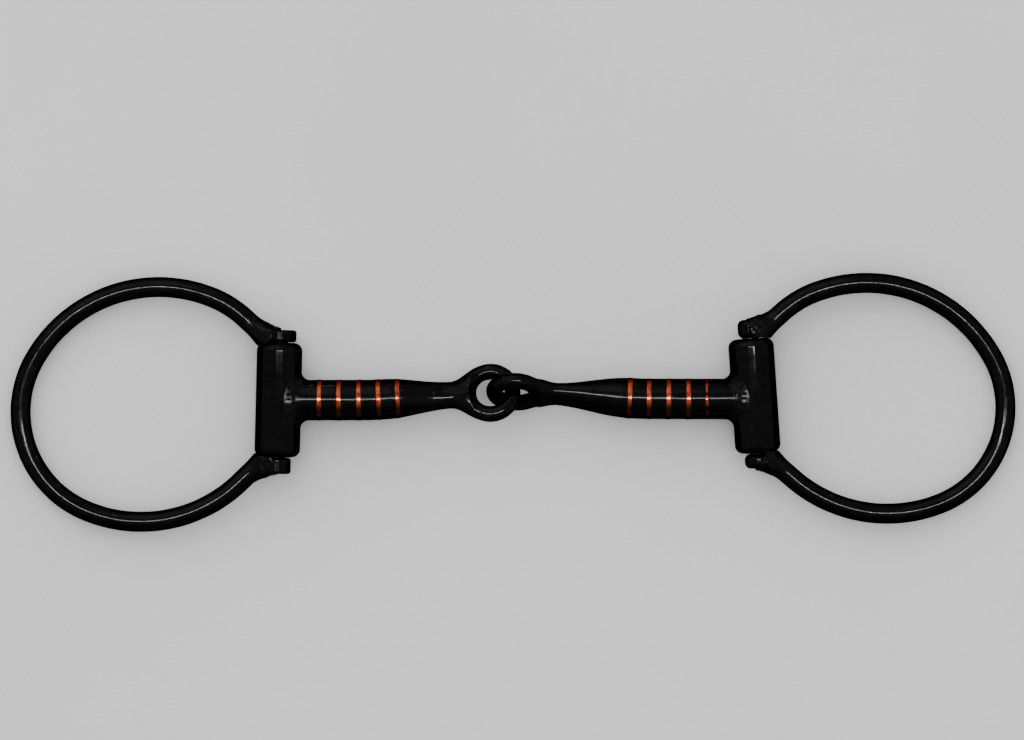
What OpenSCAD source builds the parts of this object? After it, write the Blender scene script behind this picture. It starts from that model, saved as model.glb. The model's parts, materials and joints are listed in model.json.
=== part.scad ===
// Single-jointed snaffle bit with slanted oval cheek rings, barrel hinges and copper bands in the mouthpiece.
// Lengths are in millimetres and angles in degrees. A value with two numbers holds [left, right].
// The bit lies on a flat surface at z = 0, with the mouthpiece along X and the barrels along Y.

/* [Cheek rings] */
// Diameter of the ring's wire
ring_wire_d = 6.1; // [5.5:0.1:6.3]
// Half the length of each oval, to the wire's centre line
ring_half_length = [38.9, 38.8]; // [38:0.1:41]
// Half the width of each oval, to the wire's centre line
ring_half_width = [34.4, 33.7]; // [33.5:0.1:36]
// Bend radius at both ends of each oval
ring_end_radius = [31.7, 30.6]; // [30:0.1:32]
// Distance from the barrel's axis out to each oval's centre
ring_reach = [38.2, 36.3]; // [36:0.1:40]
// Distance of each oval's centre below the middle of the barrel
ring_drop = [2.3, 3.2]; // [1.5:0.1:4]
// Slant of each oval's long axis, outer end low
ring_slant = [19.9, 23.4]; // [18:0.1:25]
// Height on the barrel's axis at which the ring's upper end points
upper_aim = [14.7, 16.2]; // [14:0.1:17]
// Depth on the barrel's axis at which the ring's lower end points
lower_aim = [13.7, 15.6]; // [13:0.1:17]

/* [Lugs and welds] */
// Diameter of the upper lugs
upper_lug_d = [9.9, 7.3]; // [7:0.1:10]
// Diameter of the lower lugs
lower_lug_d = [8.3, 8.3]; // [7:0.1:10]
// Height of the upper lugs
upper_lug_h = [3.6, 5.5]; // [3.5:0.1:6]
// Height of the lower lugs
lower_lug_h = [4.8, 4.4]; // [3.5:0.1:6]
// Rounding of the lugs' outer rims
lug_round = 0.9; // [0.4:0.1:1]
// How far a ring weld stands proud of the wire where it meets the lug
weld_flare = 1.1; // [0.8:0.1:1.5]
// Length of a ring weld along the wire
weld_length = 3.6; // [2.5:0.1:4.5]

/* [Barrels and pins] */
// Outer diameter of the barrels
barrel_d = 13.6; // [13:0.1:14]
// Length of the barrels
barrel_length = 34; // [33:0.5:35]
// Rounding of the barrels' ends
barrel_round = 2.5; // [1:0.1:3]
// Diameter of the hinge pins
pin_d = 5; // [4:0.1:5]
// Gap all round between pin and bore
pin_gap = 0.1; // [0.1:0.05:0.2]
// End play between a barrel and each lug, and all round the ring's ends
swing_gap = 0.15; // [0.15:0.05:0.3]
// Turn of each barrel about Z
barrel_yaw = [-1.4, 3.85]; // [-5:0.05:5]

/* [Mouthpiece] */
// Diameter of the cannons
cannon_d = 12.1; // [11.5:0.1:12.2]
// Height on the barrel's axis at which the cannon is welded
cannon_root = [-0.1, -1]; // [-1:0.1:1]
// Lean of each cannon away from square to its barrel
cannon_lean = [1.5, 4.0]; // [0:0.1:5]
// Length of each cannon from the barrel's axis to its bend
cannon_straight = [25.5, 31]; // [24:0.5:33]
// Angle of the bend in each cannon
bend_angle = [3.4, 3.0]; // [2:0.1:5]
// Radius of the bend in each cannon
bend_radius = 80; // [40:5:120]
// Distance from the bend to the middle of the link eye
neck_reach = [32.7, 35.8]; // [32:0.1:37]
// Length over which the cannon thins down to its neck
taper_length = [21, 26]; // [18:0.5:26]
// Diameter of the neck
neck_d = [7.6, 6.7]; // [6.5:0.1:8]
// Diameter of the fillet weld at the cannon's root
root_weld_d = 15.2; // [14:0.1:15.5]

/* [Link] */
// Radius of each eye, to the middle of its metal
eye_radius = [6.6, 6.4]; // [6.4:0.1:6.8]
// Thickness of the eyes
eye_wire_d = 4.7; // [4:0.1:4.7]
// Turn of each eye about its cannon
eye_tilt = [-18, 59.5]; // [-20:0.5:60]
// Distance between the two eyes' middles
link_spread = 7.4; // [7.2:0.1:7.6]
// How much further up along Y the right eye lies than the left one
link_step = 0.3; // [0:0.1:0.4]

/* [Copper bands] */
// Width of the bands
band_width = 1.3; // [0.8:0.1:2]
// Depth of the bands' grooves
band_depth = 0.8; // [0.5:0.1:1.2]
// Distance from the barrel's axis to the first band
band_first = [12.2, 14]; // [11:0.1:15]
// Distance between neighbouring bands
band_pitch = [5.85, 5.8]; // [4:0.05:5.9]

/* [Hidden] */
$fn = 72;
SIDES = ["left", "right"];
BANDS = [1, 2, 3, 4, 5];
PIECES = ["ring", "hinge_pin", "upper_lug", "lower_lug", "upper_ring_weld", "lower_ring_weld", "barrel",
          "barrel_weld", "cannon"];

STEEL = "#202124";
COPPER = "#b9592e";
UPPER = 0;
LOWER = 1;
EPS = 0.01;
// Neighbouring stretches of a bar differ by this hair in radius, and the slimmer one runs this far into
// the other, so that they join as one solid.
HAIR = 0.01;
JOIN = 0.5;
wire_r = ring_wire_d / 2;
slim_wire_r = wire_r - HAIR;
barrel_r = barrel_d / 2;
pin_r = pin_d / 2;
cannon_r = cannon_d / 2;
barrel_end = barrel_length / 2;
lug_base = barrel_end + swing_gap;

// Turns a flat vector by an angle.
function spin(a, v) = [cos(a) * v[0] - sin(a) * v[1], sin(a) * v[0] + cos(a) * v[1]];

// Each oval is four arcs: a tight one round each end of its long axis and a flat one along each side.
function end_offset(s) = ring_half_length[s] - ring_end_radius[s];
function side_radius(s) =
    (pow(ring_half_width[s], 2) + pow(end_offset(s), 2) - pow(ring_end_radius[s], 2))
    / (2 * (ring_half_width[s] - ring_end_radius[s]));
function side_offset(s) = side_radius(s) - ring_half_width[s];
function half_side_sweep(s) = atan(end_offset(s) / side_offset(s));
// A point given along the oval's own axes, in cheek axes: x away from the mouth, y up the barrel.
function oval_point(s, v) = [ring_reach[s], -ring_drop[s]] + spin(-ring_slant[s], v);

// The ring's ends run straight from the last arc towards a point on the barrel's axis.
function aim(s, e) = [0, e == UPPER ? upper_aim[s] : -lower_aim[s]];
function last_centre(s, e) = oval_point(s, e == UPPER ? [-end_offset(s), 0] : [0, side_offset(s)]);
function last_radius(s, e) = e == UPPER ? ring_end_radius[s] : side_radius(s);
function last_angle(s, e) =
    let (v = aim(s, e) - last_centre(s, e), turn = acos(last_radius(s, e) / norm(v)))
    atan2(v[1], v[0]) + (e == UPPER ? -turn : turn);
function last_point(s, e) =
    last_centre(s, e) + last_radius(s, e) * [cos(last_angle(s, e)), sin(last_angle(s, e))];
function tail(s, e) = last_point(s, e) - aim(s, e);
function tail_angle(s, e) = atan2(tail(s, e)[1], tail(s, e)[0]);
function lug_d(s, e) = e == UPPER ? upper_lug_d[s] : lower_lug_d[s];
function lug_h(s, e) = e == UPPER ? upper_lug_h[s] : lower_lug_h[s];

// Where the bend leaves off and where the eye is, in the barrel's axes: x towards the mouth, y up the barrel.
function bend_end(s) = [cannon_straight[s] + bend_radius * sin(bend_angle[s]),
                        bend_radius * (1 - cos(bend_angle[s]))];
function eye_point(s) = [0, cannon_root[s]] + spin(cannon_lean[s], bend_end(s) +
                        spin(bend_angle[s], [neck_reach[s], 0]));

// Radius of the cannon beyond the bend, thinning evenly from the full bar to the neck.
function taper_r(s, x) =
    let (t = min(max((x - 2 * JOIN) / (taper_length[s] - 2 * JOIN), 0), 1))
    neck_d[s] / 2 + (cannon_r - neck_d[s] / 2) * (1 + cos(180 * t)) / 2;

// The middle of a band: its distance along the cannon, its turn round the bend and how far it lies past it.
function band_station(s, n) = band_first[s] + (n - 1) * band_pitch[s];
function band_turn(s, n) =
    min(max(band_station(s, n) - cannon_straight[s], 0) / bend_radius * 180 / PI, bend_angle[s]);
function band_past(s, n) =
    max(band_station(s, n) - cannon_straight[s] - bend_radius * bend_angle[s] * PI / 180, 0);

// At rest the steeper eye and the barrels touch the surface, and so does the far side of each ring.
eye_height = eye_radius[1] * sin(eye_tilt[1]) + eye_wire_d / 2 + EPS;
function lift(s) = asin((eye_height - barrel_r) / eye_point(s)[0]);
function ring_far(s) = ring_reach[s] + norm([ring_half_length[s] * cos(ring_slant[s]),
                                             ring_half_width[s] * sin(ring_slant[s])]);
function droop(s) = asin((barrel_r - wire_r - EPS) / ring_far(s));

// The right half is placed by its eye, which lies beside the left one.
function eye_from_barrel(s) = spin(barrel_yaw[s], [(s == 0 ? 1 : -1) * eye_point(s)[0] * cos(lift(s)),
                                                   eye_point(s)[1]]);
left_barrel = [-69.6, 0.9];
left_eye = left_barrel + eye_from_barrel(0);
right_barrel = left_eye + [link_spread, link_step] - eye_from_barrel(1);
barrel_at = [left_barrel, right_barrel];

// Barrel axes of one side: x towards the mouth, y up the barrel.
module half_frame(s) {
    translate([barrel_at[s][0], barrel_at[s][1], barrel_r])
        rotate([0, 0, barrel_yaw[s]]) mirror([s, 0, 0]) children();
}

// Cheek axes of one side: x away from the mouth, y up the barrel.
module cheek_frame(s) {
    half_frame(s) rotate([0, -droop(s), 0]) mirror([1, 0, 0]) children();
}

// Cannon axes of one side: x along the straight part.
module cannon_frame(s) {
    half_frame(s) rotate([0, -lift(s), 0]) translate([0, cannon_root[s], 0])
        rotate([0, 0, cannon_lean[s]]) children();
}

// Neck axes inside the cannon axes: x from the end of the bend to the eye.
module neck_frame(s) {
    translate(bend_end(s)) rotate([0, 0, bend_angle[s]]) children();
}

// Stands a solid that was built along Z up along Y, or down along -Y.
module along_barrel(e = UPPER) {
    rotate([e == UPPER ? -90 : 90, 0, 0]) children();
}

// Lays a solid that was built along Z down along X.
module along_x() {
    rotate([0, 90, 0]) children();
}

// Lays a solid that was built along Z along one straight end of a ring, from the barrel's axis outwards.
module along_tail(s, e) {
    translate(aim(s, e)) rotate([0, 0, tail_angle(s, e)]) along_x() children();
}

// A round bar bent in the XY plane from one angle to another, longer by an overlap at both ends.
module bent_bar(centre, radius, from, to, bar_r, overlap = 0) {
    extra = overlap / radius * 180 / PI;
    translate(centre) rotate([0, 0, from - extra]) rotate_extrude(angle = to - from + 2 * extra)
        translate([radius, 0]) circle(bar_r);
}

// The whole barrel's outside, grown all round by a gap.
module barrel_solid(gap = 0) {
    r = barrel_r + gap;
    h = barrel_end + gap;
    along_barrel() rotate_extrude() {
        translate([0, -h]) square([r - barrel_round, 2 * h]);
        translate([0, -h + barrel_round]) square([r, 2 * (h - barrel_round)]);
        for (y = [-1, 1]) translate([r - barrel_round, y * (h - barrel_round)]) circle(barrel_round);
    }
}

module ring_bar(s) {
    side = half_side_sweep(s);
    top = 90 - ring_slant[s];
    bottom = -90 - ring_slant[s];
    bent_bar(last_centre(s, UPPER), ring_end_radius[s], top + side, last_angle(s, UPPER), wire_r);
    bent_bar(oval_point(s, [0, -side_offset(s)]), side_radius(s), top - side, top + side, slim_wire_r, JOIN);
    bent_bar(oval_point(s, [end_offset(s), 0]), ring_end_radius[s], bottom + side, top - side, wire_r);
    bent_bar(last_centre(s, LOWER), side_radius(s), last_angle(s, LOWER), bottom + side, slim_wire_r, JOIN);
    for (e = [UPPER, LOWER]) ring_tail(s, e);
}

// A ring's straight end, from the barrel's axis out to the last arc.
module ring_tail(s, e) {
    slim = e == UPPER;
    along_tail(s, e) cylinder(h = norm(tail(s, e)) + (slim ? JOIN : 0), r = slim ? slim_wire_r : wire_r);
}

// One bent bar, its ends trimmed to the lugs and to the barrel's swing.
module ring(s) {
    color(STEEL) cheek_frame(s) difference() {
        ring_bar(s);
        barrel_solid(swing_gap);
        for (e = [UPPER, LOWER]) along_barrel(e) cylinder(h = barrel_length, d = lug_d(s, e));
    }
}

// Plain pin through the barrel and both lugs, its ends riveted over flush.
module hinge_pin(s) {
    low = lug_base + lower_lug_h[s];
    high = lug_base + upper_lug_h[s];
    color(STEEL) cheek_frame(s) along_barrel() translate([0, 0, -low]) cylinder(h = low + high, r = pin_r);
}

// Bored collar on the pin, with a rounded outer rim.
module lug(s, e) {
    r = lug_d(s, e) / 2;
    h = lug_h(s, e);
    color(STEEL) cheek_frame(s) along_barrel(e) translate([0, 0, lug_base]) difference() {
        rotate_extrude() {
            square([r - lug_round, h]);
            square([r, h - lug_round]);
            translate([r - lug_round, h - lug_round]) circle(lug_round);
        }
        translate([0, 0, -1]) cylinder(h = h + 2, r = pin_r);
    }
}

// Flared bead that covers the joint between a ring's end and its lug.
module ring_weld(s, e) {
    lug_face = lug_d(s, e) / 2 / cos(tail_angle(s, e));
    root = wire_r / 2;
    color(STEEL) cheek_frame(s) difference() {
        along_tail(s, e) translate([0, 0, lug_face - root])
            cylinder(h = weld_length + root, r1 = wire_r + weld_flare, r2 = wire_r + weld_flare / 5);
        difference() {
            ring_tail(s, e);
            along_barrel(e) cylinder(h = barrel_length, d = lug_d(s, e));
        }
        along_barrel(e) cylinder(h = lug_base + lug_h(s, e), d = lug_d(s, e));
        barrel_solid(swing_gap);
    }
}

// Bored sleeve that turns on the hinge pin.
module barrel(s) {
    color(STEEL) half_frame(s) difference() {
        barrel_solid();
        along_barrel() cylinder(h = barrel_length + 2, r = pin_r + pin_gap, center = true);
    }
}

// Fillet bead round the cannon's root.
module barrel_weld(s) {
    bead_r = root_weld_d / 2;
    toe = barrel_r + 2;
    color(STEEL) cannon_frame(s) difference() {
        intersection() {
            along_x() union() {
                cylinder(h = barrel_r, r = bead_r);
                translate([0, 0, barrel_r]) cylinder(h = toe - barrel_r, r1 = bead_r, r2 = cannon_r + 0.2);
            }
            translate([0, -bead_r, -barrel_r + 0.3]) cube([toe, 2 * bead_r, 2 * (barrel_r - 0.3)]);
        }
        along_x() cylinder(h = toe + 1, r = cannon_r);
        barrel_cut(s);
    }
}

// The barrel's outside, long enough to trim what is welded to it, in cannon axes.
module barrel_cut(s) {
    rotate([0, 0, -cannon_lean[s]]) along_barrel() cylinder(h = barrel_length, r = barrel_r, center = true);
}

// Outline of the neck: an even taper, a slim neck and a nose that runs into the eye's metal.
module neck_outline(s) {
    steps = 12;
    eye_r = eye_wire_d / 2;
    metal = neck_reach[s] - eye_radius[s];
    taper = [for (i = [0 : steps])
        let (x = 2 * JOIN + (taper_length[s] - 2 * JOIN) * i / steps) [taper_r(s, x), x]];
    polygon(concat([[0, 0], [cannon_r, 0]], taper, [[neck_d[s] / 2, metal - eye_r],
                                     [eye_r * 0.9, metal + eye_r / 2], [0, metal + eye_r / 2]]));
}

// Turns a flat section round the cannon's own line at one band.
module round_band(s, n) {
    a = band_turn(s, n);
    start = min(band_station(s, n), cannon_straight[s]);
    translate([start + bend_radius * sin(a), bend_radius * (1 - cos(a))])
        rotate([0, 0, a]) translate([band_past(s, n), 0]) along_x() rotate_extrude() children();
}

module band_section(s, n) {
    translate([taper_r(s, band_past(s, n)) - band_depth, -band_width / 2]) square([band_depth, band_width]);
}

// Section of a band's groove, open at the cannon's surface.
module groove_section(s, n) {
    band_section(s, n);
    translate([band_depth, 0]) band_section(s, n);
}

// Forged half of the mouthpiece: straight part, bend, neck and link eye in one piece.
module cannon(s) {
    color(STEEL) cannon_frame(s) difference() {
        union() {
            along_x() cylinder(h = cannon_straight[s], r = cannon_r);
            bent_bar([cannon_straight[s], bend_radius], bend_radius, -90, bend_angle[s] - 90,
                     cannon_r - HAIR, JOIN);
            neck_frame(s) {
                along_x() rotate_extrude() neck_outline(s);
                translate([neck_reach[s], 0]) rotate([eye_tilt[s], 0, 0])
                    rotate_extrude() translate([eye_radius[s], 0]) circle(eye_wire_d / 2);
            }
        }
        barrel_cut(s);
        for (n = BANDS) round_band(s, n) groove_section(s, n);
    }
}

// Copper ring let in flush with the cannon.
module copper_band(s, n) {
    color(COPPER) cannon_frame(s) round_band(s, n) band_section(s, n);
}

for (s = [0, 1]) {
    ring(s);
    hinge_pin(s);
    lug(s, UPPER);
    lug(s, LOWER);
    ring_weld(s, UPPER);
    ring_weld(s, LOWER);
    barrel(s);
    barrel_weld(s);
    cannon(s);
    for (n = BANDS)
        copper_band(s, n);
}
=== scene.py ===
"""Looks of a single-jointed snaffle bit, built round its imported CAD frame.

Shapes are described in millimetres along the part's own axes and placed in metres by its joints.
Forged and welded pieces and the collars are skins of distance fields, barrels and pins are turned
profiles, and the copper bands are laid on the cannon's skin.
"""

import json

import bpy
import numpy as np
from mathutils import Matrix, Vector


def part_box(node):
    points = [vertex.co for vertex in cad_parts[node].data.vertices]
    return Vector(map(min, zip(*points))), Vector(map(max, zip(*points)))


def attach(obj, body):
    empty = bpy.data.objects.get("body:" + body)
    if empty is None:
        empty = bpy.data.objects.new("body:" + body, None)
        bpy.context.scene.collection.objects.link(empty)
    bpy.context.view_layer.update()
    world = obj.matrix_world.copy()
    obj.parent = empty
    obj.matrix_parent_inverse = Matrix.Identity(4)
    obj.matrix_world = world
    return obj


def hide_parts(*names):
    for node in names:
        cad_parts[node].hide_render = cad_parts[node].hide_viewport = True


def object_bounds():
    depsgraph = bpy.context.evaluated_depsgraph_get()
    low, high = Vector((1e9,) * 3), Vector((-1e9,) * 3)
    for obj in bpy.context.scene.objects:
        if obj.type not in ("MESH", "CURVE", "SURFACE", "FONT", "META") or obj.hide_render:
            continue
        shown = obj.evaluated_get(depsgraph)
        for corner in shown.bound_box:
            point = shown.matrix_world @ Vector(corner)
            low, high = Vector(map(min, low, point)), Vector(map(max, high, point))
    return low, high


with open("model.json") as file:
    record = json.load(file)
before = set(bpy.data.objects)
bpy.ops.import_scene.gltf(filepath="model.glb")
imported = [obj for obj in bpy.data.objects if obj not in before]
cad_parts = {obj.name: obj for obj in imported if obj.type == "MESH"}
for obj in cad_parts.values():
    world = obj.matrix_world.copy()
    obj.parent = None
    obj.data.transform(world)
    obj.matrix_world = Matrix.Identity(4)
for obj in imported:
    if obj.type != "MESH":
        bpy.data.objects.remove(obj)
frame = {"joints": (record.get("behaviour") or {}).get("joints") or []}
cad_low, cad_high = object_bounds()

MM = 0.001
UPPER, LOWER = 0, 1

# ---------------------------------------------------------------- dimensions, mm and degrees
WIRE_R = 3.05
BARREL_R = 6.8
BARREL_END = 17.0
BARREL_ROUND = 2.5
PIN_R = 2.5
PIN_GAP = 0.1
SWING_GAP = 0.15
LUG_BASE = BARREL_END + SWING_GAP
CANNON_R = 6.05
BEND_R = 80.0
NECK_ACROSS_EYE = 4.1
NECK_THROUGH_EYE = 2.9
EYE_WIRE_R = 2.35
BAND_WIDTH = 1.3
BAND_DEPTH = 0.8
BANDS = (1, 2, 3, 4, 5)
RING_FILLET = 5.2
ROOT_FILLET = 2.5
EYE_FILLET = 3.8

# how the metal was worked, mm
SWELL = 0.03
RING_SWELL_SPAN = 17
CANNON_SWELL_SPAN = 13
WELD_SINK = 0.03
RING_BEAD_PITCH = 1.7
ROOT_BEADS = 17
BAND_PROUD = 0.012
BAND_CROWN = 0.045

# size of the grid cells that each kind of skin is drawn from, mm
RING_STEP = 0.36
CANNON_STEP = 0.3
ROOT_WELD_STEP = 0.2
RING_WELD_STEP = 0.17
LUG_STEP = 0.16
LUG_MARGIN = 0.6
RING_WELD_REACH = 6.2

LEFT = dict(
    name="left", mirror=1,
    half_length=38.9, half_width=34.4, end_radius=31.7, reach=38.2, drop=2.3, slant=19.9,
    aims=((0, 14.7), (0, -13.7)), lug_r=(4.95, 4.15), lug_h=(3.6, 4.8), lug_round=0.9,
    root=-0.1, lean=1.5, straight=25.5, bend=3.4, neck=32.7, taper=21.0,
    eye_radius=6.6, eye_tilt=-18.0, eye_point=0.0, band_first=12.2, band_pitch=5.85,
)
RIGHT = dict(
    name="right", mirror=-1,
    half_length=38.8, half_width=33.7, end_radius=30.6, reach=36.3, drop=3.2, slant=23.4,
    aims=((0, 16.2), (0, -15.6)), lug_r=(3.65, 4.15), lug_h=(5.5, 4.4), lug_round=1.8,
    root=-1.0, lean=4.0, straight=31.0, bend=3.0, neck=35.8, taper=26.0,
    eye_radius=6.4, eye_tilt=59.5, eye_point=36.0, band_first=14.0, band_pitch=5.8,
)


# ---------------------------------------------------------------- frames
def turn(axis, degrees):
    """4 x 4 turn about a main axis."""
    c, s = np.cos(np.radians(degrees)), np.sin(np.radians(degrees))
    a, b = {"X": (1, 2), "Y": (2, 0), "Z": (0, 1)}[axis]
    m = np.eye(4)
    m[a, a] = m[b, b] = c
    m[a, b], m[b, a] = -s, s
    return m


def shift(x, y):
    """4 x 4 move in the XY plane."""
    m = np.eye(4)
    m[:2, 3] = x, y
    return m


def joint(name):
    return next(j for j in frame["joints"] if j["name"] == name)


def half_frame(side):
    """Barrel axes, in mm: x towards the mouth, y up the barrel, z up."""
    swing = joint(side["name"] + "_cheek_swing")
    up = np.array((0.0, 0.0, 1.0))
    along = np.array(swing["axis"], float)
    along /= np.linalg.norm(along)
    m = np.eye(4)
    m[:3, 0] = np.cross(along, up) * side["mirror"] * MM
    m[:3, 1] = along * MM
    m[:3, 2] = up * MM
    m[:3, 3] = swing["pos_m"]
    return m


def cheek_frame(side):
    """Cheek axes: x away from the mouth. The ring's far side droops until it rests on the floor."""
    low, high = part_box(side["name"] + "_ring")
    pivot = half_frame(side)[:3, 3]
    far = max(abs(low.x - pivot[0]), abs(high.x - pivot[0])) / MM - WIRE_R
    droop = np.degrees(np.arcsin((BARREL_R - WIRE_R) / far))
    return half_frame(side) @ turn("Y", -droop) @ np.diag((-1.0, 1.0, 1.0, 1.0))


def cannon_frame(side):
    """Cannon axes: x along the straight part. The cannon rises a little towards the link."""
    eye_height = RIGHT["eye_radius"] * np.sin(np.radians(RIGHT["eye_tilt"])) + EYE_WIRE_R
    reach = side["straight"] + BEND_R * np.radians(side["bend"]) + side["neck"]
    lift = np.degrees(np.arcsin((eye_height - BARREL_R) / reach))
    return half_frame(side) @ turn("Y", -lift) @ shift(0, side["root"]) @ turn("Z", side["lean"])


# ---------------------------------------------------------------- distance fields
def polar(radius, degrees):
    return radius * np.array((np.cos(np.radians(degrees)), np.sin(np.radians(degrees))))


def smooth_min(a, b, k):
    """Union of two fields with a fillet of about k."""
    h = np.maximum(k - np.abs(a - b), 0) / k
    return np.minimum(a, b) - h * h * k / 4


def ease(x, start, end):
    """0 before start, 1 after end, and a smooth rise between them."""
    t = np.clip((x - start) / (end - start), 0, 1)
    return t * t * (3 - 2 * t)


def arc_gap(p, centre, radius, start, end):
    """Distance to a flat arc in the XY plane."""
    v = p[:, :2] - centre
    middle, half = (start + end) / 2, (end - start) / 2
    angle = np.degrees(np.arctan2(v[:, 1], v[:, 0]))
    angle = np.clip((angle - middle + 180) % 360 - 180, -half, half) + middle
    near = v - radius * np.stack((np.cos(np.radians(angle)), np.sin(np.radians(angle))), 1)
    return np.sqrt((near**2).sum(1) + p[:, 2] ** 2)


def line_gap(p, start, end):
    """Distance to a straight stretch in the XY plane."""
    v = np.asarray(end, float) - start
    t = np.clip(((p[:, :2] - start) @ v) / (v @ v), 0, 1)
    near = p[:, :2] - start - t[:, None] * v
    return np.sqrt((near**2).sum(1) + p[:, 2] ** 2)


def round_cylinder(p, radius, middle, half, rim):
    """Cylinder along Y with rounded rims."""
    out = np.hypot(p[:, 0], p[:, 2]) - radius + rim
    up = np.abs(p[:, 1] - middle) - half + rim
    return np.hypot(np.maximum(out, 0), np.maximum(up, 0)) + np.minimum(np.maximum(out, up), 0) - rim


def ripple(p, size):
    """Low swells of hand-worked metal, about 1 high, with swells some size millimetres apart."""
    q = p * (2 * np.pi / size)
    return (
        np.sin(q[:, 0] + 1.3 * np.sin(0.7 * q[:, 1]))
        * np.sin(0.9 * q[:, 1] + 0.6)
        * np.cos(0.8 * q[:, 2] + 0.4 * q[:, 0])
    )


# ---------------------------------------------------------------- the cheek ring's line
def oval_point(side, x, y):
    """A point given along the oval's own axes, in cheek axes."""
    return np.array((side["reach"], -side["drop"])) + (turn("Z", -side["slant"])[:2, :2] @ (x, y))


def ring_line(side):
    """The bar's centre line: four arcs of an oval, and its straight ends as (aim, last point)."""
    offset = side["half_length"] - side["end_radius"]
    width, end_radius = side["half_width"], side["end_radius"]
    side_radius = (width**2 + offset**2 - end_radius**2) / (2 * (width - end_radius))
    sweep = np.degrees(np.arctan2(offset, side_radius - width))
    top, bottom = 90 - side["slant"], -90 - side["slant"]
    centres = (oval_point(side, -offset, 0), oval_point(side, 0, side_radius - width))
    radii = (end_radius, side_radius)
    last, ends = [], []
    for e, sign in ((UPPER, -1), (LOWER, 1)):
        aim = np.array(side["aims"][e], float)
        v = aim - centres[e]
        last.append(np.degrees(np.arctan2(v[1], v[0]) + sign * np.arccos(radii[e] / np.hypot(*v))))
        ends.append((aim, centres[e] + polar(radii[e], last[e])))
    arcs = (
        (centres[UPPER], end_radius, top + sweep, last[UPPER]),
        (oval_point(side, 0, width - side_radius), side_radius, top - sweep, top + sweep),
        (oval_point(side, offset, 0), end_radius, bottom + sweep, top - sweep),
        (centres[LOWER], side_radius, last[LOWER], bottom + sweep),
    )
    return arcs, ends


def lug_field(side, e):
    sign = 1 if e == UPPER else -1
    half = side["lug_h"][e] / 2
    middle = sign * (LUG_BASE + half)
    return lambda p: round_cylinder(p, side["lug_r"][e], middle, half, side["lug_round"])


def barrel_room(p):
    """The space that a barrel turns in, kept free by what is welded to the lugs."""
    return round_cylinder(p, BARREL_R + SWING_GAP, 0, BARREL_END + SWING_GAP, BARREL_ROUND)


def ring_field(side):
    arcs, ends = ring_line(side)

    def field(p):
        gap = np.min([arc_gap(p, *a) for a in arcs] + [line_gap(p, *end) for end in ends], 0)
        return np.maximum(gap - WIRE_R + SWELL * (1 - ripple(p, RING_SWELL_SPAN)), -barrel_room(p))

    return field


def ring_weld_field(side, e):
    """The fillet of weld metal between a straight end and its lug, under both where it thins out."""
    _, ends = ring_line(side)
    aim, last = ends[e]
    lug = lug_field(side, e)
    outward = (last - aim) / np.linalg.norm(last - aim)
    toe = aim + outward * (side["lug_r"][e] / abs(outward[0]) + 1.0)
    centre = np.array((toe[0], toe[1], 0.0))

    def field(p):
        bar = line_gap(p, aim, last) - WIRE_R
        collar = lug(p)
        skin = smooth_min(bar, collar, RING_FILLET)
        fillet = np.minimum(bar, collar) - skin
        along = (p[:, :2] - aim) @ outward
        beads = np.sin(along * 2 * np.pi / RING_BEAD_PITCH + 1.4 * np.cos(p[:, 2] * 0.8))
        lumps = 0.05 + 0.03 * beads + 0.09 * ripple(p, 3.1)
        skin = skin + WELD_SINK - np.clip(fillet, 0, 1) * lumps
        room = np.linalg.norm(p - centre, axis=1) - RING_WELD_REACH
        return np.maximum(np.maximum(skin, room), -barrel_room(p))

    return field, centre


# ---------------------------------------------------------------- the mouthpiece
def along_cannon(side, p):
    """Unbends the cannon: distance along it, and the two offsets from its centre line."""
    bend = np.radians(side["bend"])
    x, y, z = p.T
    u, v = x - side["straight"], BEND_R - y
    angle = np.clip(np.arctan2(u, v), 0, bend)
    s_arc = side["straight"] + BEND_R * angle
    over = u * np.cos(angle) - v * np.sin(angle)
    side_way = BEND_R - (u * np.sin(angle) + v * np.cos(angle))
    return s_arc + np.where((angle <= 0) | (angle >= bend), over, 0), side_way, z


def neck_shape(side, s):
    """Half sizes of the section across and through the eye, at a distance along the cannon."""
    start = side["straight"] + BEND_R * np.radians(side["bend"]) + 1.0
    t = np.clip((s - start) / (side["taper"] - 1.0), 0, 1)
    share = (1 - np.cos(np.pi * t)) / 2
    across = CANNON_R + (NECK_ACROSS_EYE - CANNON_R) * share
    through = CANNON_R + (NECK_THROUGH_EYE - CANNON_R) * share
    return across, through


def eye_gap(side, q):
    """Distance to the eye's centre line, in eye axes: x away from the neck, y across, z through."""
    r, tip = side["eye_radius"], side["eye_point"]
    if tip == 0:
        return arc_gap(q, np.zeros(2), r, -180, 180)
    gap = arc_gap(q, np.zeros(2), r, tip - 180, 180 - tip)
    apex = np.array((-r / np.cos(np.radians(tip)), 0.0))
    for sign in (1, -1):
        gap = np.minimum(gap, line_gap(q, polar(r, sign * (180 - tip)), apex))
    return gap


def cannon_field(side):
    tilt = np.radians(side["eye_tilt"])
    neck_start = side["straight"] + BEND_R * np.radians(side["bend"])
    eye_at = neck_start + side["neck"]

    def field(p):
        s, y, z = along_cannon(side, p)
        across, through = y * np.cos(tilt) + z * np.sin(tilt), z * np.cos(tilt) - y * np.sin(tilt)
        a, b = neck_shape(side, s)
        bar = (np.hypot(across / a, through / b) - 1) * np.minimum(a, b)
        nose = s - eye_at + (side["eye_radius"] + 0.4) / np.cos(np.radians(side["eye_point"]))
        bar = np.maximum(bar, nose)
        eye = eye_gap(side, np.stack((s - eye_at, across, through), 1)) - EYE_WIRE_R
        skin = smooth_min(bar, eye, EYE_FILLET) - SWELL * ripple(p, CANNON_SWELL_SPAN)
        return np.maximum(skin, BARREL_R - 0.4 - np.hypot(p[:, 0], p[:, 2]))

    return field


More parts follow.
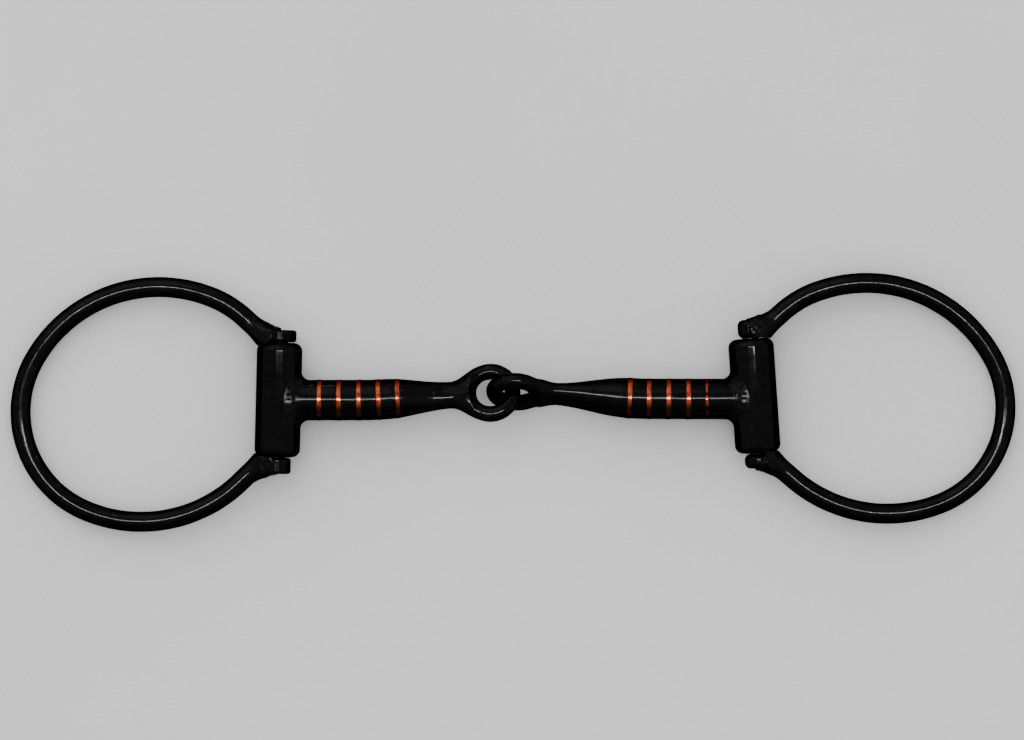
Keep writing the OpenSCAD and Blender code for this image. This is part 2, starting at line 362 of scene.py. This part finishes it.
def barrel_weld_field(side):
    """Fillet round the cannon's root."""

    def field(p):
        bar = np.hypot(p[:, 1], p[:, 2]) - CANNON_R
        lean = np.radians(side["lean"])
        wall = np.hypot(p[:, 0] * np.cos(lean) - p[:, 1] * np.sin(lean), p[:, 2]) - BARREL_R
        skin = smooth_min(bar, wall, 0.1 + ROOT_FILLET * ease(p[:, 0], 0.5, 4.5))
        fillet = np.minimum(bar, wall) - skin
        beads = np.sin(np.arctan2(p[:, 2], p[:, 1]) * ROOT_BEADS + 0.9 * p[:, 0])
        lumps = 0.06 + 0.035 * beads + 0.06 * ripple(p, 3.4)
        skin = skin + WELD_SINK - np.clip(fillet * 1.6, 0, 1) * lumps
        room = np.maximum(np.hypot(p[:, 1], p[:, 2]) - CANNON_R - 2.2, p[:, 0] - BARREL_R - 2.4)
        return np.maximum(np.maximum(skin, room), np.maximum(-wall - 0.5, -p[:, 0]))

    return field


# ---------------------------------------------------------------- from a field to a mesh
def surface_net(values, low, step):
    """Points and quads of a sampled field's zero surface, one point in each cell that it crosses."""
    solid = values < 0
    corners = [(i, j, k) for i in (0, 1) for j in (0, 1) for k in (0, 1)]
    size = np.array(values.shape) - 1

    def corner(grid, c):
        return grid[c[0]:c[0] + size[0], c[1]:c[1] + size[1], c[2]:c[2] + size[2]]

    count = sum(corner(solid, c).astype(np.int8) for c in corners)
    cells = np.argwhere((count > 0) & (count < 8))
    number = np.full(size, -1, np.int64)
    number[tuple(cells.T)] = np.arange(len(cells))
    total, hits = np.zeros((len(cells), 3)), np.zeros(len(cells))
    for c in corners:
        for axis in range(3):
            if c[axis]:
                continue
            a = cells + c
            b = a.copy()
            b[:, axis] += 1
            va, vb = values[tuple(a.T)], values[tuple(b.T)]
            cross = (va < 0) != (vb < 0)
            t = va[cross] / (va[cross] - vb[cross])
            point = a[cross].astype(float)
            point[:, axis] += t
            total[cross] += point
            hits[cross] += 1
    points = low + step * total / hits[:, None]
    quads = []
    for axis in range(3):
        a_axis, b_axis = (axis + 1) % 3, (axis + 2) % 3
        first = np.take(solid, range(size[axis]), axis)
        second = np.take(solid, range(1, size[axis] + 1), axis)
        for rising in (True, False):
            edges = np.argwhere((first & ~second) if rising else (~first & second))
            edges = edges[(edges[:, a_axis] > 0) & (edges[:, b_axis] > 0)]
            edges = edges[(edges[:, a_axis] < size[a_axis]) & (edges[:, b_axis] < size[b_axis])]
            around = []
            for da, db in ((1, 1), (0, 1), (0, 0), (1, 0)):
                cell = edges.copy()
                cell[:, a_axis] -= da
                cell[:, b_axis] -= db
                around.append(number[tuple(cell.T)])
            quad = np.stack(around, 1)
            quads.append(quad if rising else quad[:, ::-1])
    return points, np.vstack(quads)


def slope(field, p, h=0.02):
    """Gradient of a field."""
    return np.stack([(field(p + d) - field(p - d)) / (2 * h) for d in np.eye(3) * h], 1)


def settle(field, p, step):
    """Moves the points onto the zero surface, and returns them with their outward directions."""
    for _ in range(3):
        g = slope(field, p)
        move = field(p)[:, None] * g / np.maximum((g**2).sum(1, keepdims=True), 0.05)
        p = p - np.clip(move, -step, step)
    g = slope(field, p)
    return p, g / np.maximum(np.linalg.norm(g, axis=1, keepdims=True), 1e-6)


def sample(field, low, high, step):
    """Field values on a grid. Far from the surface, a block takes the value at its middle."""
    block = 6
    n = (np.ceil((high - low) / (step * block)).astype(int)) * block + 1
    axes = [low[i] + step * np.arange(n[i]) for i in range(3)]
    coarse = [low[i] + step * (np.arange((n[i] - 1) // block) * block + block / 2) for i in range(3)]
    middle = np.stack(np.meshgrid(*coarse, indexing="ij"), -1).reshape(-1, 3)
    values = field(middle).reshape([len(c) for c in coarse])
    for i in range(3):
        values = np.take(values, np.minimum(np.arange(n[i]) // block, len(coarse[i]) - 1), i)
    near = np.abs(values) < step * block * 1.6
    spots = np.argwhere(near)
    points = np.stack([axes[i][spots[:, i]] for i in range(3)], 1)
    values[near] = field(points)
    return values


def mesh_piece(name, points, faces, normals=None):
    """A mesh object in the row frame."""
    mesh = bpy.data.meshes.new(name)
    mesh.from_pydata(points.tolist(), [], faces.tolist())
    mesh.validate()
    mesh.polygons.foreach_set("use_smooth", [True] * len(mesh.polygons))
    if normals is not None:
        mesh.normals_split_custom_set_from_vertices(normals.tolist())
    piece = bpy.data.objects.new(name, mesh)
    bpy.context.scene.collection.objects.link(piece)
    return piece


def skin_piece(name, field, axes, low, high, step):
    """The skin of a field given along a piece's own axes, as a mesh object in the row frame."""
    low, high = np.array(low, float), np.array(high, float)
    points, quads = surface_net(sample(field, low, high, step), low, step)
    points, normals = settle(field, points, step)
    world = points @ axes[:3, :3].T + axes[:3, 3]
    if np.linalg.det(axes[:3, :3]) < 0:
        quads = quads[:, ::-1]
    return mesh_piece(name, world, quads, normals @ axes[:3, :3].T / MM)


def lathe_piece(name, profile, axes, turns=144):
    """A closed profile of (radius, height) points turned about the Y axis of a piece's own axes."""
    profile = np.array(profile, float)
    angle = np.linspace(0, 2 * np.pi, turns, endpoint=False)
    n = len(profile)
    radius, height = profile[:, 0], profile[:, 1]
    points = np.stack((
        np.outer(np.cos(angle), radius),
        np.outer(np.ones(turns), height),
        np.outer(np.sin(angle), radius),
    ), -1).reshape(-1, 3)
    i, k = np.meshgrid(np.arange(turns), np.arange(n), indexing="ij")
    j, m = (i + 1) % turns, (k + 1) % n
    quads = np.stack((i * n + k, i * n + m, j * n + m, j * n + k), -1).reshape(-1, 4)
    if np.linalg.det(axes[:3, :3]) < 0:
        quads = quads[:, ::-1]
    return mesh_piece(name, points @ axes[:3, :3].T + axes[:3, 3], quads)


def rounded(points_and_radii, steps=8):
    """A closed profile with rounded corners, from (radius, height, corner radius) rows."""
    rows = np.array(points_and_radii, float)
    out = []
    for i, (x, y, r) in enumerate(rows):
        here = np.array((x, y))
        before, after = rows[i - 1][:2] - here, rows[(i + 1) % len(rows)][:2] - here
        before, after = before / np.linalg.norm(before), after / np.linalg.norm(after)
        half = np.arccos(np.clip(before @ after, -1, 1)) / 2
        cut = r / np.tan(half)
        centre = here + (before + after) / np.linalg.norm(before + after) * r / np.sin(half)
        a, b = here + before * cut - centre, here + after * cut - centre
        for t in np.linspace(0, 1, steps + 1):
            v = a * (1 - t) + b * t
            out.append(centre + v / np.linalg.norm(v) * r)
    return out


# ---------------------------------------------------------------- pieces of one side
def build_ring(side):
    reach = side["reach"] + side["half_length"] + WIRE_R + 1.5
    tall = side["half_length"] + WIRE_R + 3
    piece = skin_piece(side["name"] + "_cheek_ring", ring_field(side), cheek_frame(side),
                       (-6, -tall, -4), (reach, tall, 4), RING_STEP)
    return piece, "cheek", ("ring",), "black_steel"


def build_lug(side, e):
    word = ("upper", "lower")[e]
    r, h = side["lug_r"][e] + LUG_MARGIN, side["lug_h"][e]
    low, high = LUG_BASE - LUG_MARGIN, LUG_BASE + h + LUG_MARGIN
    if e == LOWER:
        low, high = -high, -low
    piece = skin_piece(f"{side['name']}_{word}_collar", lug_field(side, e), cheek_frame(side),
                       (-r, low, -r), (r, high, r), LUG_STEP)
    return piece, "cheek", (word + "_lug",), "black_steel"


def build_ring_weld(side, e):
    word = ("upper", "lower")[e]
    field, centre = ring_weld_field(side, e)
    piece = skin_piece(f"{side['name']}_{word}_weld_bead", field, cheek_frame(side),
                       centre - 6.8, centre + 6.8, RING_WELD_STEP)
    return piece, "cheek", (word + "_ring_weld",), "weld_steel"


def build_pin(side):
    top = LUG_BASE + side["lug_h"][UPPER]
    bottom = -LUG_BASE - side["lug_h"][LOWER]
    profile = rounded(((0.02, bottom, 0.005), (PIN_R, bottom, 0.35),
                       (PIN_R, top, 0.35), (0.02, top, 0.005)))
    piece = lathe_piece(side["name"] + "_rivet_pin", profile, cheek_frame(side))
    return piece, "cheek", ("hinge_pin",), "pin_steel"


def build_barrel(side):
    bore = PIN_R + PIN_GAP
    profile = rounded(((bore, -BARREL_END, 0.3), (BARREL_R, -BARREL_END, BARREL_ROUND),
                       (BARREL_R, BARREL_END, BARREL_ROUND), (bore, BARREL_END, 0.3)), 14)
    piece = lathe_piece(side["name"] + "_hinge_barrel", profile, half_frame(side))
    return piece, "mouth", ("barrel",), "turned_steel"


def build_barrel_weld(side):
    piece = skin_piece(side["name"] + "_root_weld_bead", barrel_weld_field(side), cannon_frame(side),
                       (-0.5, -9, -9), (10, 9, 9), ROOT_WELD_STEP)
    return piece, "mouth", ("barrel_weld",), "weld_steel"


def build_cannon(side):
    length = side["straight"] + side["neck"] + side["eye_radius"] + 9
    piece = skin_piece(side["name"] + "_forged_cannon", cannon_field(side), cannon_frame(side),
                       (2, -8, -10), (length, 16, 10), CANNON_STEP)
    return piece, "mouth", ("cannon",), "black_steel"


def bend_point(side, s, y, z):
    """The point at a distance along the cannon and two offsets from its line, in cannon axes."""
    past = s - side["straight"]
    angle = np.clip(past / BEND_R, 0, np.radians(side["bend"]))
    rest = np.where(past > 0, past - BEND_R * angle, past)
    return np.stack((
        side["straight"] + BEND_R * np.sin(angle) + rest * np.cos(angle) - y * np.sin(angle),
        BEND_R * (1 - np.cos(angle)) + rest * np.sin(angle) + y * np.cos(angle),
        z + 0 * s,
    ), -1)


def band_edges(side, n, angle):
    """Half width, sideways drift and sunk depth of a band. The band by the right barrel is worn."""
    wave = np.sin(3 * angle + n) + 0.6 * np.sin(7 * angle + 2.1 * n) + 0.4 * np.sin(17 * angle + n * n)
    if side["name"] == "right" and n == 1:
        return 0.40 + 0.14 * wave, 0.35 * np.sin(angle + 0.4), 0.030 * (1 + np.sin(9 * angle + 2.36))
    return BAND_WIDTH / 2 + 0.04 * wave, 0.07 * np.sin(angle + 1.7 * n), np.zeros_like(angle)


def build_band(side, n):
    """A flattened copper ring let into the cannon's skin, with a low crown."""
    turns, section = 200, np.linspace(-1, 1, 13)
    angle = np.linspace(0, 2 * np.pi, turns, endpoint=False)[:, None]
    half, drift, sunk = band_edges(side, n, angle)
    s = side["band_first"] + (n - 1) * side["band_pitch"] + drift + half * section
    guess = bend_point(side, s, CANNON_R * np.cos(angle), CANNON_R * np.sin(angle)).reshape(-1, 3)
    skin, normals = settle(cannon_field(side), guess, 1.0)
    crown = (BAND_PROUD + BAND_CROWN * (1 - section**4) - sunk).reshape(-1, 1)
    outer = (skin + normals * crown).reshape(turns, -1, 3)
    inner = (skin - normals * BAND_DEPTH).reshape(turns, -1, 3)
    points = np.concatenate((outer, inner[:, ::-1]), 1)
    k = points.shape[1]
    i, c = np.meshgrid(np.arange(turns), np.arange(k), indexing="ij")
    j, d = (i + 1) % turns, (c + 1) % k
    quads = np.stack((i * k + c, j * k + c, j * k + d, i * k + d), -1).reshape(-1, 4)
    axes = cannon_frame(side)
    if np.linalg.det(axes[:3, :3]) > 0:
        quads = quads[:, ::-1]
    world = points.reshape(-1, 3) @ axes[:3, :3].T + axes[:3, 3]
    piece = mesh_piece(f"{side['name']}_copper_inlay_{n}", world, quads)
    # painted shade: a per-point share that darkens the band from just past its top, over the side
    # turned away from the light, to underneath
    painted_shade = piece.data.attributes.new("painted_shade", "FLOAT", "POINT")
    turned = np.degrees(angle)
    share = ease(turned, 95, 120) * (1 - ease(turned, 255, 290))
    painted_shade.data.foreach_set("value", np.repeat(share.ravel(), k).astype(np.float32))
    return piece, "mouth", (f"copper_band_{n}",), "copper"


# ---------------------------------------------------------------- materials
def node(tree, kind, x=0, y=0, **values):
    """A shader node with its sockets and settings filled in."""
    made = tree.nodes.new(kind)
    made.location = (x, y)
    for key, value in values.items():
        if key in made.inputs:
            made.inputs[key].default_value = value
        else:
            setattr(made, key, value)
    return made


def noise(tree, scale, detail=4.0, rough=0.55, stretch=(1, 1, 1)):
    """Noise over the object's own coordinates, per metre, and its factor socket."""
    where = node(tree, "ShaderNodeTexCoord", -1400)
    spread = node(tree, "ShaderNodeMapping", -1200)
    spread.inputs["Scale"].default_value = stretch
    tree.links.new(where.outputs["Object"], spread.inputs["Vector"])
    made = node(tree, "ShaderNodeTexNoise", -1000, Scale=scale, Detail=detail, Roughness=rough)
    tree.links.new(spread.outputs["Vector"], made.inputs["Vector"])
    return made.outputs["Fac"]


def ramp(tree, source, stops):
    """A colour ramp of (position, colour) stops."""
    made = node(tree, "ShaderNodeValToRGB", -700)
    elements = made.color_ramp.elements
    while len(elements) < len(stops):
        elements.new(0.5)
    for element, (position, colour) in zip(elements, stops):
        element.position = position
        grey = (colour, colour, colour)
        element.color = (*(colour if hasattr(colour, "__len__") else grey), 1.0)
    tree.links.new(source, made.inputs["Fac"])
    return made.outputs["Color"]


def bump(tree, layers):
    """Stacks bump layers of (height socket, strength, distance in metres)."""
    normal = None
    for height, strength, distance in layers:
        made = node(tree, "ShaderNodeBump", -300, -400, Strength=strength, Distance=distance)
        tree.links.new(height, made.inputs["Height"])
        if normal is not None:
            tree.links.new(normal, made.inputs["Normal"])
        normal = made.outputs["Normal"]
    return normal


def mix_colour(tree, share, a, b):
    made = node(tree, "ShaderNodeMix", -300, data_type="RGBA")
    tree.links.new(share, made.inputs["Factor"])
    for source, name in ((a, "A"), (b, "B")):
        socket = [s for s in made.inputs if s.name == name and s.type == "RGBA"][0]
        if hasattr(source, "links"):
            tree.links.new(source, socket)
        else:
            socket.default_value = (*source, 1.0)
    return [s for s in made.outputs if s.type == "RGBA"][0]


def surface(name, base, rough, normal, metallic=1.0, edge=(0.3, 0.3, 0.3)):
    """A principled material whose base colour, roughness and normal come from the given makers.
    The edge colour dims what it reflects at a grazing angle: blackened steel stays dark there."""
    material = bpy.data.materials.new(name)
    material.use_nodes = True
    tree = material.node_tree
    shader = tree.nodes["Principled BSDF"]
    shader.inputs["Metallic"].default_value = metallic
    if metallic:
        shader.inputs["Specular Tint"].default_value = (*edge, 1.0)
    tree.links.new(base(tree), shader.inputs["Base Color"])
    tree.links.new(rough(tree), shader.inputs["Roughness"])
    tree.links.new(normal(tree), shader.inputs["Normal"])
    return material


def worn_edges(tree):
    """Share of bare steel: on sharp convex edges, broken up by noise."""
    point = node(tree, "ShaderNodeNewGeometry", -1400, 500).outputs["Pointiness"]
    edge = ramp(tree, point, ((0.50, 0.0), (0.60, 1.0)))
    patch = ramp(tree, noise(tree, 900, 6), ((0.45, 0.0), (0.7, 1.0)))
    both = node(tree, "ShaderNodeMath", -400, 400, operation="MULTIPLY")
    tree.links.new(edge, both.inputs[0])
    tree.links.new(patch, both.inputs[1])
    return both.outputs[0]


def black_steel(name="blackened_steel", smooth=0.08, coarse=0.17, dents=0.2):
    """Heat-blackened steel with faint colour drift, hairline scratches and rubbed edges.
    Smooth and coarse are its least and greatest roughness."""
    def base(tree):
        black = ramp(tree, noise(tree, 220, 5), (
            (0.3, (0.0024, 0.0024, 0.0027)), (0.75, (0.0046, 0.0045, 0.0046))))
        return mix_colour(tree, worn_edges(tree), black, (0.030, 0.028, 0.027))

    def rough(tree):
        return ramp(tree, noise(tree, 420, 6, 0.65), ((0.3, smooth), (0.7, coarse)))

    def normal(tree):
        return bump(tree, (
            (noise(tree, 190, 3), dents, 0.00010),
            (noise(tree, 2600, 5, 0.6), 0.7 * dents, 0.00002),
            (noise(tree, 500, 6, 0.7, (1, 9, 9)), 0.5 * dents, 0.00002),
        ))

    return surface(name, base, rough, normal)


def weld_steel():
    """Blackened weld metal: rougher, lumpier, with a trace of brown scale."""
    def base(tree):
        black = ramp(tree, noise(tree, 600, 6), (
            (0.3, (0.0028, 0.0028, 0.0031)), (0.8, (0.0070, 0.0065, 0.0063))))
        return mix_colour(tree, worn_edges(tree), black, (0.025, 0.023, 0.022))

    def rough(tree):
        return ramp(tree, noise(tree, 900, 5), ((0.3, 0.08), (0.75, 0.22)))

    def normal(tree):
        return bump(tree, ((noise(tree, 850, 4), 0.5, 0.00016), (noise(tree, 4200, 4), 0.25, 0.00003)))

    return surface("blackened_weld", base, rough, normal)


def pin_steel():
    """The riveted pin ends: blackened, with a peened face."""
    def base(tree):
        return ramp(tree, noise(tree, 700, 5), (
            (0.3, (0.009, 0.009, 0.010)), (0.75, (0.022, 0.021, 0.020))))

    def rough(tree):
        return ramp(tree, noise(tree, 1300, 5), ((0.3, 0.26), (0.75, 0.45)))

    def normal(tree):
        return bump(tree, ((noise(tree, 1100, 2), 0.6, 0.00018),))

    return surface("peened_steel", base, rough, normal)


def copper():
    """Copper inlay with brown low spots, and painted shade: near-black along the side turned away from
    the light and underneath.
    Darker than clean copper, to suit the bright room."""
    def base(tree):
        bright = ramp(tree, noise(tree, 800, 6), (
            (0.30, (0.09, 0.012, 0.005)),
            (0.45, (0.155, 0.024, 0.010)),
            (0.75, (0.24, 0.050, 0.020)),
        ))
        # painted shade: where the painted_shade share is set, the copper is mixed towards near-black
        painted_shade_layer = node(tree, "ShaderNodeAttribute", -1400, 700, attribute_name="painted_shade").outputs["Fac"]
        return mix_colour(tree, painted_shade_layer, bright, (0.03, 0.010, 0.007))

    def rough(tree):
        return ramp(tree, noise(tree, 1500, 5), ((0.3, 0.10), (0.75, 0.24)))

    def normal(tree):
        return bump(tree, (
            (noise(tree, 1500, 4, 0.6, (8, 1, 1)), 0.3, 0.00004),
            (noise(tree, 700, 3), 0.3, 0.00008),
        ))

    return surface("brushed_copper", base, rough, normal, edge=(0.10, 0.015, 0.005))


def floor_paper():
    """Pale grey studio card."""
    def base(tree):
        return ramp(tree, noise(tree, 5, 3), (
            (0.35, (0.545, 0.542, 0.540)), (0.65, (0.600, 0.597, 0.595))))

    def rough(tree):
        return ramp(tree, noise(tree, 300, 4), ((0.3, 0.75), (0.7, 0.9)))

    def normal(tree):
        return bump(tree, ((noise(tree, 1500, 4), 0.1, 0.0001),))

    return surface("floor_paper", base, rough, normal, 0.0)


# ---------------------------------------------------------------- the stage
def make_floor(z):
    half = 4.0
    mesh = bpy.data.meshes.new("floor")
    corners = [(-half, -half, z), (half, -half, z), (half, half, z), (-half, half, z)]
    mesh.from_pydata(corners, [], [(0, 1, 2, 3)])
    floor = bpy.data.objects.new("floor", mesh)
    bpy.context.scene.collection.objects.link(floor)
    mesh.materials.append(floor_paper())


def make_camera(low, high):
    """Straight down from high above, a little towards the top of the picture. Lengths in metres."""
    data = bpy.data.cameras.new("camera")
    height, picture_width, sensor = 2.5, 0.3035, 36
    left, up = 0.0003, 0.0096
    data.sensor_width = sensor
    data.lens = sensor * height / picture_width
    camera = bpy.data.objects.new("camera", data)
    x, y = (low.x + high.x) / 2 - left, (low.y + high.y) / 2 + up
    camera.location = (x, y, high.z / 2 + height)
    bpy.context.scene.collection.objects.link(camera)
    bpy.context.scene.camera = camera


def area_lamp(name, x, y, z, length, width, watts, lights_floor=False):
    """An area lamp. One that doesn't light the floor shows only as a highlight on the metal."""
    data = bpy.data.lights.new(name, "AREA")
    data.shape, data.size, data.size_y = "RECTANGLE", length, width
    data.energy = watts
    lamp = bpy.data.objects.new(name, data)
    lamp.location = (x, y, z)
    lamp.visible_diffuse = lights_floor
    bpy.context.scene.collection.objects.link(lamp)
    return lamp


def make_lights():
    """Three ceiling lamps end to end, a large soft window to the upper left and a bright room.
    The room is darkest in front."""
    height, width, y, aside = 2.7, 0.08, 0.20, 0.50
    outer_length, outer_watts = 0.51, 44
    area_lamp("lamp_middle", 0.0, y, height, 0.455, width, 30)
    area_lamp("lamp_left", -aside, y, height, outer_length, width, outer_watts)
    area_lamp("lamp_right", aside, y, height, outer_length, width, outer_watts)
    window = area_lamp("window", -1.2, 2.2, 1.9, 3.0, 2.4, 40, True)
    window.rotation_euler = (np.radians(-50), 0, np.radians(25))
    world = bpy.data.worlds.new("room")
    world.use_nodes = True
    tree = world.node_tree
    where = node(tree, "ShaderNodeTexCoord")
    split = node(tree, "ShaderNodeSeparateXYZ")
    tree.links.new(where.outputs["Generated"], split.inputs["Vector"])
    half = node(tree, "ShaderNodeMapRange", **{"From Min": -1.0, "From Max": 1.0})
    tree.links.new(split.outputs["Y"], half.inputs["Value"])
    light = ramp(tree, half.outputs["Result"], (
        (0.10, (0.26, 0.26, 0.26)), (0.34, (0.70, 0.70, 0.71))))
    tree.links.new(light, tree.nodes["Background"].inputs["Color"])
    tree.nodes["Background"].inputs["Strength"].default_value = 2.35
    bpy.context.scene.world = world


# ---------------------------------------------------------------- the whole scene
def build_side(side, materials):
    whole = (build_ring, build_pin, build_barrel, build_barrel_weld, build_cannon)
    built = [build(side) for build in whole]
    for e in (UPPER, LOWER):
        built += [build_lug(side, e), build_ring_weld(side, e)]
    built += [build_band(side, n) for n in BANDS]
    for piece, body, nodes, look in built:
        piece.data.materials.append(materials[look])
        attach(piece, f"{side['name']}_{body}")
        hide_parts(*[f"{side['name']}_{n}" for n in nodes])
        "black_steel" if look == "turned_steel" else look


def main():
    materials = {
        "black_steel": black_steel(),
        "turned_steel": black_steel("blackened_turned_steel", 0.03, 0.07, 0.06),
        "weld_steel": weld_steel(),
        "pin_steel": pin_steel(),
        "copper": copper(),
    }
    for side in (LEFT, RIGHT):
        build_side(side, materials)
    make_floor(cad_low.z)
    make_camera(cad_low, cad_high)
    make_lights()


main()
